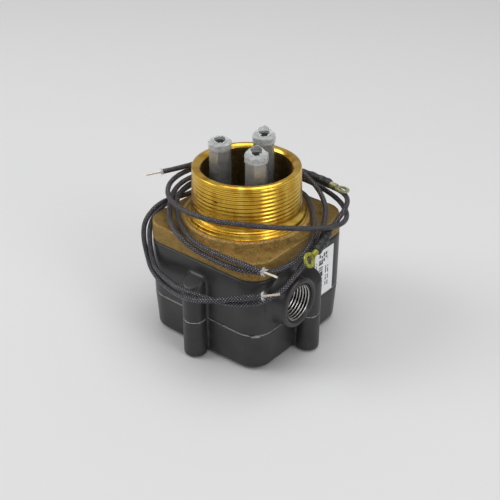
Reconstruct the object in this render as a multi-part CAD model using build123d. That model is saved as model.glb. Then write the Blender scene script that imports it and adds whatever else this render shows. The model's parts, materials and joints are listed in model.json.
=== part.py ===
from build123d import *
import os
from math import atan2, cos, degrees, pi, radians, sin, tan

os.makedirs("parts", exist_ok=True)

# The head of a three-electrode level probe, standing upside down on its cover screws.
# Millimetres. +Z is the spigot's axis and points out of the spigot's mouth; the conduit hub faces +X.
# The origin is on the surface that the head stands on, under the spigot's axis.

# Terminal box
BOX_SIDE = 81.2
BOX_CORNER = 13.0
COVER_FLOOR_Z = 1.5
PARTING_Z = 23.2
HOUSING_TOP_Z = 57.2
COVER_DRAFT = 3.6
WALL = 3.0
TOP_WALL = 3.5
EDGE_ROUND = 1.5

# Screw columns on the four sides
COLUMN_STANDOFF = 3.4
COLUMN_RADIUS = 6.5
COLUMN_FOOT_Z = 1.2
COLUMN_TOP_DROP = 12.2
COLUMN_SLOPE_RISE = 4.8

# Gaskets
COVER_GASKET = 0.4
BODY_GASKET = 0.6
GASKET_INSET = 0.3
GASKET_WIDTH = 2.4

# Brass flange and spigot
FLANGE_THICKNESS = 10.7
CROWN_SLOPE_WIDTH = 5.5
CROWN_HEIGHT = 2.4
CROWN_LEDGE = 1.7
SHOULDER_WIDTH = 2.5
SHOULDER_HEIGHT = 2.5
NECK_RELIEF = 0.5
NECK_HEIGHT = 3.3
THREAD_RADIUS = 29.8
THREAD_LENGTH = 22.5
BORE_RADIUS = 24.5
WEB_THICKNESS = 8.2
RIM_OUTER_CHAMFER = 1.0
RIM_INNER_CHAMFER = 1.5

# Conduit hub
HUB_WALL = 3.1
HUB_LENGTH = 11.4
HUB_INSET = 22.1
HUB_RISE = 18.3
HUB_FLARE = 1.8
CONDUIT_RADIUS = 10.6
CONDUIT_LEAD_IN = 1.0

# Electrodes: stud, insulators, coupling and its clear sleeve
POST_CLEARANCE = 3.1
POST_ANGLES = (90, 210, 330)
STUD_RADIUS = 2.4
STUD_TAIL = 4.2
COUPLING_FLATS = 10.5
COUPLING_TOP_Z = 111.0
COUPLING_TAP_RADIUS = 3.0
COUPLING_TAP_DEPTH = 12.0
COUPLING_GRIP = 9.0
SLEEVE_THICKNESS = 0.35
SLEEVE_PROUD = 0.9
INSULATOR_RADIUS = 7.0
UPPER_INSULATOR_HEIGHT = 7.0
LOWER_INSULATOR_HEIGHT = 5.5
INSULATOR_SPIGOT_RADIUS = 4.8
INSULATOR_SPIGOT_LENGTH = 3.8
NUT_FLATS = 8.0
NUT_HEIGHT = 3.6
WASHER_RADIUS = 5.0
WASHER_THICKNESS = 1.0
BINDING_GAP = 2.4

# Fasteners
COVER_SCREW_RADIUS = 2.5
COVER_SCREW_HEAD_RADIUS = 4.3
COVER_SCREW_HEAD_HEIGHT = 2.8
COVER_SCREW_ENGAGEMENT = 14.0
HOUSING_SCREW_RADIUS = 2.5
HOUSING_SCREW_HEAD_RADIUS = 4.5
HOUSING_SCREW_HEAD_HEIGHT = 3.2
HOUSING_SCREW_ENGAGEMENT = 7.5
HOUSING_SCREW_INSET = 11.6
SLOT_WIDTH = 1.2
SLOT_DEPTH = 1.1
GROUND_SCREW_INSET = 13.6
GROUND_SCREW_RADIUS = 2.0
GROUND_SCREW_HEAD_RADIUS = 4.0
GROUND_SCREW_HEAD_HEIGHT = 2.6
GROUND_SCREW_GRIP = 3.0
GROUND_WASHER_RADIUS = 5.0
FIT_CLEARANCE = 0.05
HOLE_CLEARANCE = 0.2

# Rating label, blank
LABEL_WIDTH = 17.2
LABEL_HEIGHT = 29.2
LABEL_THICKNESS = 0.2
LABEL_INSET = 23.2
LABEL_RISE = -1.1

# Loose leads
LEAD_RADIUS = 1.4
LEAD_SLEEVE_RADIUS = 2.1
LEAD_SLEEVE_START = 0.35
CORE_RADIUS = 0.5
CORE_LENGTH = 9.5
RING_RADIUS = 4.1
RING_HOLE_RADIUS = 2.3
RING_THICKNESS = 0.9
BARREL_RADIUS = 1.6
BARREL_LENGTH = 4.5
ARC_SHARE = 0.45

# Places and levels that follow from the sizes above
WALL_X = BOX_SIDE / 2
COLUMN_OFFSET = WALL_X + COLUMN_STANDOFF
COLUMN_OUTER_Z = HOUSING_TOP_Z - COLUMN_TOP_DROP
COLUMN_WALL_Z = COLUMN_OUTER_Z + COLUMN_SLOPE_RISE
SHOULDER_RADIUS = THREAD_RADIUS + SHOULDER_WIDTH
NECK_RADIUS = THREAD_RADIUS - NECK_RELIEF
CROWN_TOP_RADIUS = SHOULDER_RADIUS + CROWN_LEDGE
CROWN_FOOT_RADIUS = CROWN_TOP_RADIUS + CROWN_SLOPE_WIDTH
HUB_RADIUS = CONDUIT_RADIUS + HUB_WALL
HUB_FACE_X = WALL_X + HUB_LENGTH
HUB_Y = HUB_INSET - WALL_X
HUB_Z = PARTING_Z + HUB_RISE
HOUSING_SCREW_OFFSET = WALL_X - HOUSING_SCREW_INSET
GROUND_SCREW_X = GROUND_SCREW_INSET - WALL_X
LABEL_Y = WALL_X - LABEL_INSET
LABEL_Z = (PARTING_Z + HOUSING_TOP_Z) / 2 + LABEL_RISE
POST_CIRCLE_RADIUS = BORE_RADIUS - INSULATOR_RADIUS - POST_CLEARANCE
COUPLING_FOOT_Z = HOUSING_TOP_Z + BODY_GASKET + WEB_THICKNESS + UPPER_INSULATOR_HEIGHT
FLANGE_FOOT_Z = HOUSING_TOP_Z + BODY_GASKET
FLANGE_TOP_Z = FLANGE_FOOT_Z + FLANGE_THICKNESS
CROWN_TOP_Z = FLANGE_TOP_Z + CROWN_HEIGHT
SHOULDER_TOP_Z = CROWN_TOP_Z + SHOULDER_HEIGHT
THREAD_FOOT_Z = SHOULDER_TOP_Z + NECK_HEIGHT
RIM_Z = THREAD_FOOT_Z + THREAD_LENGTH
WEB_TOP_Z = FLANGE_FOOT_Z + WEB_THICKNESS
HOUSING_FOOT_Z = PARTING_Z + COVER_GASKET
CEILING_Z = HOUSING_TOP_Z - TOP_WALL
THROAT_RADIUS = BORE_RADIUS
LOWER_INSULATOR_FOOT_Z = FLANGE_FOOT_Z - LOWER_INSULATOR_HEIGHT
COUPLING_CORNER_RADIUS = COUPLING_FLATS / 2 / cos(pi / 6)
SLEEVE_BORE_RADIUS = COUPLING_CORNER_RADIUS + FIT_CLEARANCE
COVER_SCREW_TIP_Z = HOUSING_FOOT_Z + COVER_SCREW_ENGAGEMENT
TERMINAL_NUT_TOP_Z = LOWER_INSULATOR_FOOT_Z - WASHER_THICKNESS
BINDING_WASHER_TOP_Z = TERMINAL_NUT_TOP_Z - NUT_HEIGHT - BINDING_GAP
BINDING_NUT_TOP_Z = BINDING_WASHER_TOP_Z - WASHER_THICKNESS
STUD_FOOT_Z = BINDING_NUT_TOP_Z - NUT_HEIGHT - STUD_TAIL

# Points of each lead's route, chosen by hand, from the stripped end to the ring terminal.
LEAD_ROUTES = (
    (
        (46, -43.5, 71), (34.5, -43.5, 70.5), (21, -43.5, 69.5), (8, -43.5, 69.5), (-3.5, -42.5, 71),
        (-17, -35, 71.5), (-29.5, -25.5, 73.5), (-36.3, -15.5, 75.7), (-39.5, -2.5, 76),
        (-39.5, 16, 75.5), (-29, 32, 75.5), (-11.5, 41.5, 75.5), (7, 43.5, 75.5), (19.5, 44, 73.5),
        (30.5, 42.5, 71.5), (40, 36.5, 71), (47.5, 28, 71), (49.5, 17.5, 71.5), (45, 6.5, 73),
        (39, -5.5, 76), (32, -18, 79.5), (21.5, -29, 82), (8, -35.5, 82), (-7, -36.5, 81.5),
        (-21, -34.5, 81), (-33, -28, 81), (-41, -18, 81.5), (-43, -6.5, 82.5), (-41, 6.5, 82.5),
        (-35.5, 21, 82.5), (-24, 32.5, 82), (-9, 38, 81.5), (6.5, 40, 80.8),
    ),
    (
        (-48.5, -15, 85), (-44.5, -8.5, 85.5), (-41, 0, 86), (-37, 13, 86), (-27, 28, 86),
        (-10, 37, 86), (4, 37, 86), (15, 33, 84.5), (23, 32.5, 80.5), (29.5, 30, 76.5),
        (35.3, 25, 73), (40.4, 17, 71), (43.3, 8.5, 67.5), (44.4, 0, 62.5), (46, -10.5, 58),
        (49, -21.5, 57.5), (48.5, -32, 53.5), (43, -41, 49.5), (34, -47.5, 48), (24.5, -51, 47.5),
        (14, -52.5, 47), (1, -54, 46.5), (-15, -49, 44), (-26.5, -45.5, 44), (-31.7, -42.9, 47.2),
        (-35.3, -40.6, 54), (-39.7, -36.3, 61.2), (-43.6, -28, 65), (-44.8, -16, 67.5), (-45, -2, 70),
        (-43.5, 11.5, 72.5), (-38, 25.5, 73), (-28, 37.5, 73), (-12, 46, 73), (6, 49.5, 73),
        (20, 49, 73.5), (31.5, 46, 74.5), (40, 39, 75.7), (44.3, 30.3, 74.6), (45.3, 20.5, 71.3),
        (46.2, 11.5, 68),
    ),
    (
        (44.5, -42, 55), (33, -49, 52), (22.5, -55, 49.5), (9.5, -57.5, 45.5), (-8.5, -52, 40.5),
        (-21.5, -47.5, 39), (-31.8, -44.4, 41.8), (-37.5, -41.3, 48), (-40.7, -40.2, 56.2),
        (-42.9, -36.9, 64.2), (-41.3, -29.8, 71), (-39, -21.5, 73.5), (-36.5, -9, 72), (-36, 5, 72),
        (-31, 19.5, 72.5), (-19.5, 31.5, 72.5), (-2, 37, 72.5), (15.5, 33.5, 72.5),
        (25.5, 24.5, 72.5), (35, 14.5, 71.5), (42, 5.5, 70), (44.3, -3, 65), (44.3, -12.5, 62),
        (44, -23.5, 62.5), (43.5, -33, 64.5), (38, -40.5, 66), (28, -44.5, 66), (14, -44, 65.5),
        (1, -44, 66.5), (-10.5, -43.5, 70), (-20, -39.5, 72.5), (-29.5, -30.5, 74.7), (-36.5, -20, 78.3),
        (-39, -9, 80), (-38.5, 3, 79.5), (-35, 13.5, 79), (-30, 21.5, 78),
    ),
)
# Where each lead's black sleeve goes on to from the lead's end, as far as the ring's barrel.
SLEEVE_ENDS = (
    ((17, 41.7, 80.2), (26, 41.6, 79.4)),
    ((47.9, 6, 66.4), (49.6, -3.2, 65.2)),
    ((-26.8, 25.6, 77.9), (-22.8, 28.6, 78.2), (-17.8, 31, 78.7)),
)
# Which way each ring terminal's flat face looks.
RING_FACES = ((-0.14, 0.17, 0.97), (0.90, 0.0, 0.44), (-0.3, 0.95, 0.0))


def keep(name, shape):
    """Write one named piece."""
    shape.label = name
    export_step(shape, f"parts/{name}.step")


def post_centre(angle):
    """The place of an electrode on its circle."""
    return (POST_CIRCLE_RADIUS * cos(radians(angle)), POST_CIRCLE_RADIUS * sin(radians(angle)))


def column_places():
    """The axes of the four screw columns."""
    return ((COLUMN_OFFSET, 0), (0, COLUMN_OFFSET), (-COLUMN_OFFSET, 0), (0, -COLUMN_OFFSET))


def housing_screw_places():
    """The axes of the four screws between the housing and the brass."""
    reach = HOUSING_SCREW_OFFSET
    return ((reach, reach), (-reach, reach), (-reach, -reach), (reach, -reach))


def rod(radius, low, high, x=0.0, y=0.0):
    """An upright cylinder between two heights."""
    return Pos(x, y, low) * Cylinder(radius, high - low, align=(Align.CENTER, Align.CENTER, Align.MIN))


def cone(low_radius, high_radius, low, high):
    """An upright cone frustum on the Z axis."""
    return Pos(0, 0, low) * Cone(low_radius, high_radius, high - low, align=(Align.CENTER, Align.CENTER, Align.MIN))


def hexagon(flats, low, high, x=0.0, y=0.0):
    """An upright hexagonal prism."""
    outline = RegularPolygon(flats / 2, 6, major_radius=False)
    return Pos(x, y, low) * extrude(outline, high - low)


def slab(side, corner, low, high):
    """An upright square block with round corners."""
    return Pos(0, 0, low) * extrude(RectangleRounded(side, side, corner), high - low)


def slotted_head(radius, height, x, y, low):
    """A round screw head whose slot is in its lower face."""
    head = rod(radius, low, low + height, x, y)
    return head - Pos(x, y, low) * Box(3 * radius, SLOT_WIDTH, 2 * SLOT_DEPTH)


def brass_body():
    """Cast flange with its crown, machined shoulder, threaded spigot, bore and web."""
    flange = slab(BOX_SIDE, BOX_CORNER, FLANGE_FOOT_Z, FLANGE_TOP_Z)
    flange = fillet(flange.faces().sort_by(Axis.Z)[-1].edges(), EDGE_ROUND)
    body = flange + cone(CROWN_FOOT_RADIUS, CROWN_TOP_RADIUS, FLANGE_TOP_Z, CROWN_TOP_Z)
    body += rod(SHOULDER_RADIUS, CROWN_TOP_Z, SHOULDER_TOP_Z)
    body += rod(NECK_RADIUS, SHOULDER_TOP_Z, THREAD_FOOT_Z)
    spigot = rod(THREAD_RADIUS, THREAD_FOOT_Z, RIM_Z)
    body += chamfer(spigot.faces().sort_by(Axis.Z)[-1].edges(), RIM_OUTER_CHAMFER)
    body -= rod(BORE_RADIUS, WEB_TOP_Z, RIM_Z)
    body -= cone(BORE_RADIUS, BORE_RADIUS + RIM_INNER_CHAMFER, RIM_Z - RIM_INNER_CHAMFER, RIM_Z)
    for angle in POST_ANGLES:
        x, y = post_centre(angle)
        body -= rod(INSULATOR_SPIGOT_RADIUS + FIT_CLEARANCE, FLANGE_FOOT_Z, WEB_TOP_Z, x, y)
    hole_top = FLANGE_FOOT_Z + HOUSING_SCREW_ENGAGEMENT + 2 * FIT_CLEARANCE
    for x, y in housing_screw_places():
        body -= rod(HOUSING_SCREW_RADIUS + FIT_CLEARANCE, FLANGE_FOOT_Z, hole_top, x, y)
    return body


def body_gasket():
    """Flat gasket between the brass and the housing."""
    side = BOX_SIDE - 2 * GASKET_INSET
    gasket = slab(side, BOX_CORNER - GASKET_INSET, HOUSING_TOP_Z, FLANGE_FOOT_Z)
    gasket -= rod(THROAT_RADIUS, HOUSING_TOP_Z, FLANGE_FOOT_Z)
    for x, y in housing_screw_places():
        gasket -= rod(HOUSING_SCREW_RADIUS + HOLE_CLEARANCE, HOUSING_TOP_Z, FLANGE_FOOT_Z, x, y)
    return gasket


def housing_column(x, y):
    """A screw column whose top slopes up to the wall."""
    run = COLUMN_RADIUS + COLUMN_STANDOFF
    rise = COLUMN_WALL_Z - COLUMN_OUTER_Z
    peak_z = COLUMN_OUTER_Z + 2 * COLUMN_RADIUS * rise / run
    column = rod(COLUMN_RADIUS, HOUSING_FOOT_Z, peak_z + rise)
    slope = Plane(origin=(COLUMN_RADIUS, 0, COLUMN_OUTER_Z), x_dir=(-run, 0, rise), z_dir=(rise, 0, run))
    above = Box(8 * COLUMN_RADIUS, 4 * COLUMN_RADIUS, 4 * COLUMN_RADIUS, align=(Align.CENTER, Align.CENTER, Align.MIN))
    column -= slope * above
    column = fillet(column.faces().sort_by(Axis.Z)[-1].edges(), EDGE_ROUND)
    return Pos(x, y, 0) * Rot(0, 0, degrees(atan2(y, x))) * column


def conduit_hub():
    """The round hub for the conduit, flared where it meets the wall."""
    root_x = WALL_X - WALL
    along_x = (Align.CENTER, Align.CENTER, Align.MIN)
    barrel = Cylinder(HUB_RADIUS, HUB_FACE_X - root_x, align=along_x)
    barrel = chamfer(barrel.faces().sort_by(Axis.Z)[-1].edges(), CONDUIT_LEAD_IN / 2)
    flare = Cone(HUB_RADIUS + HUB_FLARE, HUB_RADIUS, HUB_FLARE * 1.5, align=along_x)
    hub = barrel + Pos(0, 0, WALL) * flare
    return Pos(root_x, HUB_Y, HUB_Z) * Rot(0, 90, 0) * hub


def conduit_bore():
    """What the hub's bore takes away, with its lead-in cone."""
    root_x = WALL_X - WALL
    along_x = (Align.CENTER, Align.CENTER, Align.MIN)
    length = HUB_FACE_X - root_x
    bore = Cylinder(CONDUIT_RADIUS, length, align=along_x)
    lead_in = Cone(CONDUIT_RADIUS, CONDUIT_RADIUS + CONDUIT_LEAD_IN, CONDUIT_LEAD_IN, align=along_x)
    bore += Pos(0, 0, length - CONDUIT_LEAD_IN) * lead_in
    return Pos(root_x, HUB_Y, HUB_Z) * Rot(0, 90, 0) * bore


def upper_housing():
    """Die-cast walls of the box with their four columns and the conduit hub."""
    shell = slab(BOX_SIDE, BOX_CORNER, HOUSING_FOOT_Z, HOUSING_TOP_Z)
    for x, y in column_places():
        shell += housing_column(x, y)
    shell += conduit_hub()
    shell -= slab(BOX_SIDE - 2 * WALL, BOX_CORNER - WALL, HOUSING_FOOT_Z, HOUSING_TOP_Z)
    shell -= conduit_bore()
    for x, y in column_places():
        shell -= rod(COVER_SCREW_RADIUS + FIT_CLEARANCE, HOUSING_FOOT_Z, COVER_SCREW_TIP_Z + 1, x, y)
    return shell


def housing_roof():
    """The plate that closes the walls under the brass, kept apart so that the box stays hollow in collision."""
    plate = slab(BOX_SIDE - 2 * WALL, BOX_CORNER - WALL, CEILING_Z, HOUSING_TOP_Z)
    plate -= rod(THROAT_RADIUS, CEILING_Z, HOUSING_TOP_Z)
    for x, y in housing_screw_places():
        plate -= rod(HOUSING_SCREW_RADIUS + HOLE_CLEARANCE, CEILING_Z, HOUSING_TOP_Z, x, y)
    ground_top = CEILING_Z + GROUND_SCREW_GRIP + 2 * FIT_CLEARANCE
    plate -= rod(GROUND_SCREW_RADIUS + FIT_CLEARANCE, CEILING_Z, ground_top, GROUND_SCREW_X, 0)
    return plate


def cover():
    """Die-cast cover: a shallow tray with draft and four columns with counterbored feet."""
    outline = RectangleRounded(BOX_SIDE, BOX_SIDE, BOX_CORNER)
    tray = extrude(Plane.XY.offset(PARTING_Z) * outline, -(PARTING_Z - COVER_FLOOR_Z), taper=COVER_DRAFT)
    tray = fillet(tray.faces().sort_by(Axis.Z)[0].edges(), EDGE_ROUND)
    for x, y in column_places():
        tray += rod(COLUMN_RADIUS, COLUMN_FOOT_Z, PARTING_Z, x, y)
    inner_side = BOX_SIDE - 2 * WALL
    hollow = RectangleRounded(inner_side, inner_side, BOX_CORNER - WALL)
    depth = PARTING_Z - COVER_FLOOR_Z - WALL
    tray -= extrude(Plane.XY.offset(PARTING_Z) * hollow, -depth, taper=COVER_DRAFT)
    for x, y in column_places():
        tray -= rod(COVER_SCREW_RADIUS + FIT_CLEARANCE, COLUMN_FOOT_Z, PARTING_Z, x, y)
        tray -= rod(COVER_SCREW_HEAD_RADIUS + HOLE_CLEARANCE, COLUMN_FOOT_Z, COVER_SCREW_HEAD_HEIGHT, x, y)
    return tray


def cover_gasket():
    """Thin frame gasket on the cover's rim, with ears round the screws."""
    outer = BOX_SIDE - 2 * GASKET_INSET
    inner = outer - 2 * GASKET_WIDTH
    frame = slab(outer, BOX_CORNER - GASKET_INSET, PARTING_Z, HOUSING_FOOT_Z)
    frame -= slab(inner, BOX_CORNER - GASKET_INSET - GASKET_WIDTH, PARTING_Z, HOUSING_FOOT_Z)
    for x, y in column_places():
        frame += rod(COLUMN_RADIUS - GASKET_INSET, PARTING_Z, HOUSING_FOOT_Z, x, y)
    for x, y in column_places():
        frame -= rod(COVER_SCREW_RADIUS + HOLE_CLEARANCE, PARTING_Z, HOUSING_FOOT_Z, x, y)
    return frame


def cover_screw(x, y):
    """A slotted screw whose head the whole part stands on."""
    head = slotted_head(COVER_SCREW_HEAD_RADIUS, COVER_SCREW_HEAD_HEIGHT, x, y, 0)
    shank = rod(COVER_SCREW_RADIUS, COVER_SCREW_HEAD_HEIGHT, COVER_SCREW_TIP_Z, x, y)
    return head + chamfer(shank.faces().sort_by(Axis.Z)[-1].edges(), SLOT_WIDTH / 2)


def housing_screws():
    """Four slotted screws from inside the box into the brass."""
    screws = []
    for x, y in housing_screw_places():
        head_foot = CEILING_Z - HOUSING_SCREW_HEAD_HEIGHT
        head = slotted_head(HOUSING_SCREW_HEAD_RADIUS, HOUSING_SCREW_HEAD_HEIGHT, x, y, head_foot)
        tip = FLANGE_FOOT_Z + HOUSING_SCREW_ENGAGEMENT
        screws.append(head + rod(HOUSING_SCREW_RADIUS, CEILING_Z, tip, x, y))
    return Compound(children=screws)


def electrode(x, y):
    """The stud that carries the signal through the web."""
    return rod(STUD_RADIUS, STUD_FOOT_Z, COUPLING_FOOT_Z + COUPLING_GRIP, x, y)


def coupling(x, y):
    """Hex coupling on the stud, tapped at its free end for a probe rod."""
    body = hexagon(COUPLING_FLATS, COUPLING_FOOT_Z, COUPLING_TOP_Z, x, y)
    body -= rod(COUPLING_TAP_RADIUS, COUPLING_TOP_Z - COUPLING_TAP_DEPTH, COUPLING_TOP_Z, x, y)
    grip_top = COUPLING_FOOT_Z + COUPLING_GRIP
    return body - rod(STUD_RADIUS + FIT_CLEARANCE, COUPLING_FOOT_Z, grip_top, x, y)


def coupling_sleeve(x, y):
    """Clear sleeve shrunk over the coupling's corners."""
    top = COUPLING_TOP_Z + SLEEVE_PROUD
    sleeve = rod(SLEEVE_BORE_RADIUS + SLEEVE_THICKNESS, COUPLING_FOOT_Z, top, x, y)
    return sleeve - rod(SLEEVE_BORE_RADIUS, COUPLING_FOOT_Z, top, x, y)


def upper_insulator(x, y):
    """Insulating bush on the web, its spigot in the web's hole."""
    bush = rod(INSULATOR_RADIUS, WEB_TOP_Z, COUPLING_FOOT_Z, x, y)
    bush += rod(INSULATOR_SPIGOT_RADIUS, WEB_TOP_Z - INSULATOR_SPIGOT_LENGTH, WEB_TOP_Z, x, y)
    bush -= rod(STUD_RADIUS + FIT_CLEARANCE, WEB_TOP_Z - INSULATOR_SPIGOT_LENGTH, COUPLING_FOOT_Z, x, y)
    return bush


def lower_insulator(x, y):
    """Insulating bush under the web, its spigot in the web's hole."""
    bush = rod(INSULATOR_RADIUS, LOWER_INSULATOR_FOOT_Z, FLANGE_FOOT_Z, x, y)
    bush += rod(INSULATOR_SPIGOT_RADIUS, FLANGE_FOOT_Z, FLANGE_FOOT_Z + INSULATOR_SPIGOT_LENGTH, x, y)
    top = FLANGE_FOOT_Z + INSULATOR_SPIGOT_LENGTH
    return bush - rod(STUD_RADIUS + FIT_CLEARANCE, LOWER_INSULATOR_FOOT_Z, top, x, y)


def washers(top):
    """Three plain washers on the studs, their upper faces at one height."""
    rings = []
    for angle in POST_ANGLES:
        x, y = post_centre(angle)
        disc = rod(WASHER_RADIUS, top - WASHER_THICKNESS, top, x, y)
        rings.append(disc - rod(STUD_RADIUS + FIT_CLEARANCE, top - WASHER_THICKNESS, top, x, y))
    return Compound(children=rings)


def nuts(top):
    """Three hex nuts on the studs, their upper faces at one height."""
    pieces = []
    for angle in POST_ANGLES:
        x, y = post_centre(angle)
        body = hexagon(NUT_FLATS, top - NUT_HEIGHT, top, x, y)
        pieces.append(body - rod(STUD_RADIUS + FIT_CLEARANCE, top - NUT_HEIGHT, top, x, y))
    return Compound(children=pieces)


def ground_screw():
    """Slotted ground screw in the housing's top wall."""
    foot = CEILING_Z - WASHER_THICKNESS - GROUND_SCREW_HEAD_HEIGHT
    head = slotted_head(GROUND_SCREW_HEAD_RADIUS, GROUND_SCREW_HEAD_HEIGHT, GROUND_SCREW_X, 0, foot)
    head_top = foot + GROUND_SCREW_HEAD_HEIGHT
    return head + rod(GROUND_SCREW_RADIUS, head_top, CEILING_Z + GROUND_SCREW_GRIP, GROUND_SCREW_X, 0)


def ground_washer():
    """Plain washer under the ground screw's head."""
    low = CEILING_Z - WASHER_THICKNESS
    disc = rod(GROUND_WASHER_RADIUS, low, CEILING_Z, GROUND_SCREW_X, 0)
    return disc - rod(GROUND_SCREW_RADIUS + FIT_CLEARANCE, low, CEILING_Z, GROUND_SCREW_X, 0)


def rating_label():
    """Blank label on the wall beside the conduit hub."""
    x = WALL_X + LABEL_THICKNESS / 2
    return Pos(x, LABEL_Y, LABEL_Z) * Box(LABEL_THICKNESS, LABEL_WIDTH, LABEL_HEIGHT)


def tube(name, points, radius):
    """Straight runs joined by tangent arcs, each as large as its two runs allow."""
    spots = [Vector(*point) for point in points]
    radii = []
    for before, here, after in zip(spots, spots[1:], spots[2:]):
        turn = (here - before).get_angle(after - here)
        radii.append(ARC_SHARE * min((here - before).length, (after - here).length) / tan(radians(turn / 2)))
    path = FilletPolyline(*spots, radius=radii)
    section = Plane(origin=spots[0], z_dir=spots[1] - spots[0]) * Circle(radius)
    solid = sweep(section, path=path)
    ideal = pi * radius**2 * path.length
    print(f"{name}: length {path.length:.0f}, smallest radius {min(radii):.1f}, volume share {solid.volume / ideal:.4f}")
    return solid


def sleeve_points(route, ends):
    """The sleeve leaves the lead's end in line with it, then follows its own points."""
    end = Vector(*route[-1])
    along = (end - Vector(*route[-2])).normalized()
    start = end + along * (LEAD_SLEEVE_START * (Vector(*ends[0]) - end).length)
    return (tuple(end), tuple(start), *ends)


def lead_core(points):
    """The bare tinned conductor beyond the stripped end."""
    end = Vector(*points[0])
    out = (end - Vector(*points[1])).normalized()
    return Plane(origin=end, z_dir=out) * Cylinder(CORE_RADIUS, CORE_LENGTH,
                                                   align=(Align.CENTER, Align.CENTER, Align.MIN))


def ring_terminal(points, face):
    """Crimped ring: a barrel that leaves the sleeve and a flat ring at its end."""
    end = Vector(*points[-1])
    along = (end - Vector(*points[-2])).normalized()
    across = along.cross(Vector(*face)).normalized()
    normal = across.cross(along)
    barrel = Plane(origin=end, z_dir=along) * Cylinder(BARREL_RADIUS, BARREL_LENGTH,
                                                       align=(Align.CENTER, Align.CENTER, Align.MIN))
    centre = end + along * (BARREL_LENGTH + RING_RADIUS - CORE_RADIUS)
    ring_plane = Plane(origin=centre, x_dir=along, z_dir=normal)
    ring = ring_plane * Cylinder(RING_RADIUS, RING_THICKNESS)
    ring -= ring_plane * Cylinder(RING_HOLE_RADIUS, 2 * RING_THICKNESS)
    return barrel + ring


def build():
    """Write every piece."""
    keep("brass_body", brass_body())
    keep("body_gasket", body_gasket())
    keep("upper_housing", upper_housing())
    keep("housing_roof", housing_roof())
    keep("cover", cover())
    keep("cover_gasket", cover_gasket())
    for number, (x, y) in enumerate(column_places(), 1):
        keep(f"cover_screw_{number}", cover_screw(x, y))
    keep("housing_screws", housing_screws())
    for number, angle in enumerate(POST_ANGLES, 1):
        x, y = post_centre(angle)
        keep(f"electrode_{number}", electrode(x, y))
        keep(f"coupling_{number}", coupling(x, y))
        keep(f"coupling_sleeve_{number}", coupling_sleeve(x, y))
        keep(f"upper_insulator_{number}", upper_insulator(x, y))
        keep(f"lower_insulator_{number}", lower_insulator(x, y))
    keep("terminal_washers", washers(LOWER_INSULATOR_FOOT_Z))
    keep("terminal_nuts", nuts(TERMINAL_NUT_TOP_Z))
    keep("binding_washers", washers(BINDING_WASHER_TOP_Z))
    keep("binding_nuts", nuts(BINDING_NUT_TOP_Z))
    keep("ground_screw", ground_screw())
    keep("ground_washer", ground_washer())
    keep("rating_label", rating_label())
    for number, (route, ends, face) in enumerate(zip(LEAD_ROUTES, SLEEVE_ENDS, RING_FACES), 1):
        sleeve = sleeve_points(route, ends)
        keep(f"lead_{number}", tube(f"lead_{number}", route, LEAD_RADIUS))
        keep(f"lead_sleeve_{number}", tube(f"lead_sleeve_{number}", sleeve, LEAD_SLEEVE_RADIUS))
        keep(f"lead_core_{number}", lead_core(route))
        keep(f"ring_terminal_{number}", ring_terminal(sleeve, face))


build()
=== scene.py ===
import json
import math
from functools import partialmethod

import bmesh
import bpy
from bpy.props import FloatProperty, FloatVectorProperty, IntProperty, PointerProperty
from bpy.types import Operator, Panel, PropertyGroup
from mathutils import Matrix, Vector, noise


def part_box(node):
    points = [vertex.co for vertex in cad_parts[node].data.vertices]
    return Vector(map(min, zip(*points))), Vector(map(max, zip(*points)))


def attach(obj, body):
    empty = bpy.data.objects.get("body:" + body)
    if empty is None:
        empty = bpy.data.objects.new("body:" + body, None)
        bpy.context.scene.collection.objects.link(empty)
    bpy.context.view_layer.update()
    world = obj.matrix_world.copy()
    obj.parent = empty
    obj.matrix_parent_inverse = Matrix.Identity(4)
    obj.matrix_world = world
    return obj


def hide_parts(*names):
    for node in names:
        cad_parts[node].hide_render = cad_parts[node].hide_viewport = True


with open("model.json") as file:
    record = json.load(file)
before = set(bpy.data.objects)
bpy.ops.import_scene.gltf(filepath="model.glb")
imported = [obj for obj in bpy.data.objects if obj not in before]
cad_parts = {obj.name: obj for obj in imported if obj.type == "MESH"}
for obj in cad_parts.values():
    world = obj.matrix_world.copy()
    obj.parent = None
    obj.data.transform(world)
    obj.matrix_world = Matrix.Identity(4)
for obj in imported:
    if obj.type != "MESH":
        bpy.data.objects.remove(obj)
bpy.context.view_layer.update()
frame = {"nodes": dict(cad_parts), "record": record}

bl_info = {
    "name": "Level probe head",
    "version": (1, 0, 0),
    "blender": (4, 5, 0),
    "location": "View3D > Sidebar > Probe head",
    "description": "Builds the visible pieces of a three-electrode level probe head and its studio",
    "category": "Object",
}

MM = 0.001
NODES = frame["nodes"]


# Places that come from the frame


def node_box(name):
    """A CAD piece's lowest and highest corners as vectors."""
    low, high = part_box(name)
    return Vector(low), Vector(high)


BRASS_LOW, BRASS_HIGH = node_box("brass_body")
HOUSING_HIGH = node_box("upper_housing")[1]
COVER_HIGH = node_box("cover")[1]
LABEL_LOW, LABEL_HIGH = node_box("rating_label")
POSTS = [node_box(f"coupling_{number}") for number in (1, 2, 3)]
MOUNTS = {mount["name"]: mount for mount in frame["record"]["mounts"]}


# The brass casting, in millimetres; a rise is counted from the step below it, and
# the last line numbers its three kinds of surface

FLANGE_THICK = 10.7
FLANGE_CORNER = 13.0
CROWN_RISE = 2.4
CROWN_EDGE = 34.6
SHOULDER_RISE = 2.5
WEB_TOP = BRASS_LOW.z / MM + 8.2
THREAD_LENGTH = 22.5
NECK_RADIUS = 29.3
BORE_RADIUS = 24.4
NICK = (3.5, -29.4, 89.0)
CAST, TURNED, BORED = range(3)


# The thread in the conduit hub, in millimetres; its ends are counted in from the housing's face

HUB_MOUTH = 1.2
HUB_END = 14.0
HUB_CREST = 9.15
HUB_TOOTH = 1.15
HUB_FLARE = 0.25
HUB_LIP = 10.38
HUB_LIP_OUT = 0.25
HUB_CLEARANCE = 0.15


# The film on the posts: its wall and folded band in millimetres, how high its torn flaps stand, also in
# millimetres, and on which side, in degrees

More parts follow.
